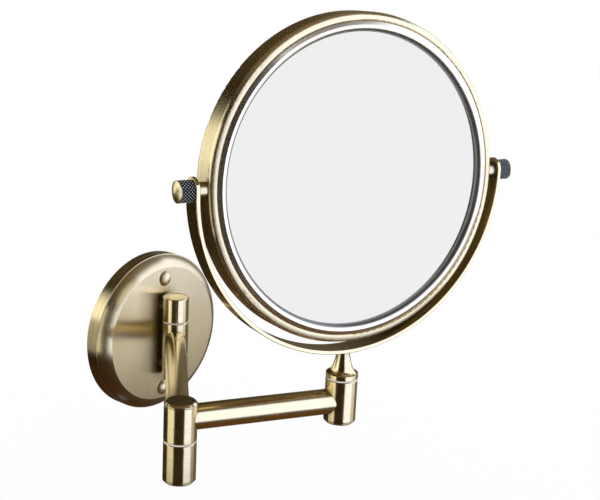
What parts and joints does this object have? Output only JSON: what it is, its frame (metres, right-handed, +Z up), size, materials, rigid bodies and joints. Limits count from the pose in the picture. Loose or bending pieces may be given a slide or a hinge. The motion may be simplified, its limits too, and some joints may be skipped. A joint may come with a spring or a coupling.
{
  "type": "makeup mirror",
  "caption": "Round wall-mounted makeup mirror, plain and magnifying, tilting in a yoke on a folding two-link swing arm with a dished wall plate.",
  "frame": {"origin": "centre of the wall plate's back rim, on the wall", "axes": "+Y into the wall, -Y into the room, +Z up, +X to the right for someone facing the wall"},
  "size_m": [0.2363, 0.3094, 0.3314],
  "materials": {
    "brushed_brass": "antique, brushed",
    "polished_brass": "antique, polished",
    "dark_brass": "blackened, knurled",
    "silvered_glass": "silvered",
    "steel": "zinc plated",
    "nylon": "cream",
    "black_fibre": "black",
    "foam": "matt"
  },
  "bodies": {
    "bracket": {"wall_plate": "brushed_brass", "wall_screws": "steel", "screw_caps": "polished_brass", "spacer_screws": "steel", "upper_spacer": "polished_brass", "lower_spacer": "polished_brass", "upper_knuckle": "polished_brass", "lower_knuckle": "polished_brass", "upper_hinge_cap": "polished_brass", "lower_hinge_cap": "polished_brass", "upper_hinge_washer": "nylon", "lower_hinge_washer": "nylon", "wall_hinge_pin": "steel"},
    "inner_arm": {"middle_knuckle": "polished_brass", "inner_arm_tube": "polished_brass", "lower_elbow_barrel": "polished_brass", "elbow_bottom_cap": "polished_brass", "elbow_washer": "nylon", "elbow_bolt": "steel", "elbow_spring_washer": "steel"},
    "outer_arm": {"upper_elbow_barrel": "polished_brass", "elbow_top_cap": "polished_brass", "outer_arm_tube": "polished_brass", "end_barrel": "polished_brass", "end_bottom_cap": "polished_brass"},
    "yoke": {"yoke": "polished_brass", "yoke_screw": "polished_brass", "swivel_stem": "polished_brass", "stem_washer": "nylon", "stem_retaining_washer": "steel", "stem_retaining_screw": "steel"},
    "mirror_head": {"frame_band": "brushed_brass", "front_bezel": "polished_brass", "rear_bezel": "polished_brass", "front_mirror": "silvered_glass", "rear_mirror": "silvered_glass", "backing_ring": "foam", "left_boss": "polished_brass", "right_boss": "polished_brass", "left_friction_washer": "black_fibre", "right_friction_washer": "black_fibre"},
    "left_knob": {"left_thumbscrew": "polished_brass", "left_knob_grip": "dark_brass"},
    "right_knob": {"right_thumbscrew": "polished_brass", "right_knob_grip": "dark_brass"}
  },
  "joints": [
    {"name": "wall_swing", "type": "hinge", "parent": "bracket", "child": "inner_arm", "pos_m": [0, -0.031, 0], "axis": [0, 0, 1], "range_deg": [-46.7, 133.3]},
    {"name": "elbow_swing", "type": "hinge", "parent": "inner_arm", "child": "outer_arm", "pos_m": [-0.15568, -0.1962, 0], "axis": [0, 0, 1], "range_deg": [-286.7, 73.3]},
    {"name": "mirror_swivel", "type": "hinge", "parent": "outer_arm", "child": "yoke", "pos_m": [-0.06135, -0.24344, 0.0456], "axis": [0, 0, 1], "continuous": true},
    {"name": "mirror_tilt", "type": "hinge", "parent": "yoke", "child": "mirror_head", "pos_m": [-0.06135, -0.24344, 0.1688], "axis": [0.9432, -0.3322, 0], "continuous": true},
    {"name": "left_knob_turn", "type": "hinge", "parent": "mirror_head", "child": "left_knob", "pos_m": [-0.16312, -0.2076, 0.1688], "axis": [-0.9432, 0.3322, 0], "range_deg": [0, 360]},
    {"name": "right_knob_turn", "type": "hinge", "parent": "mirror_head", "child": "right_knob", "pos_m": [0.04043, -0.27928, 0.1688], "axis": [0.9432, -0.3322, 0], "range_deg": [0, 360]}
  ]
}
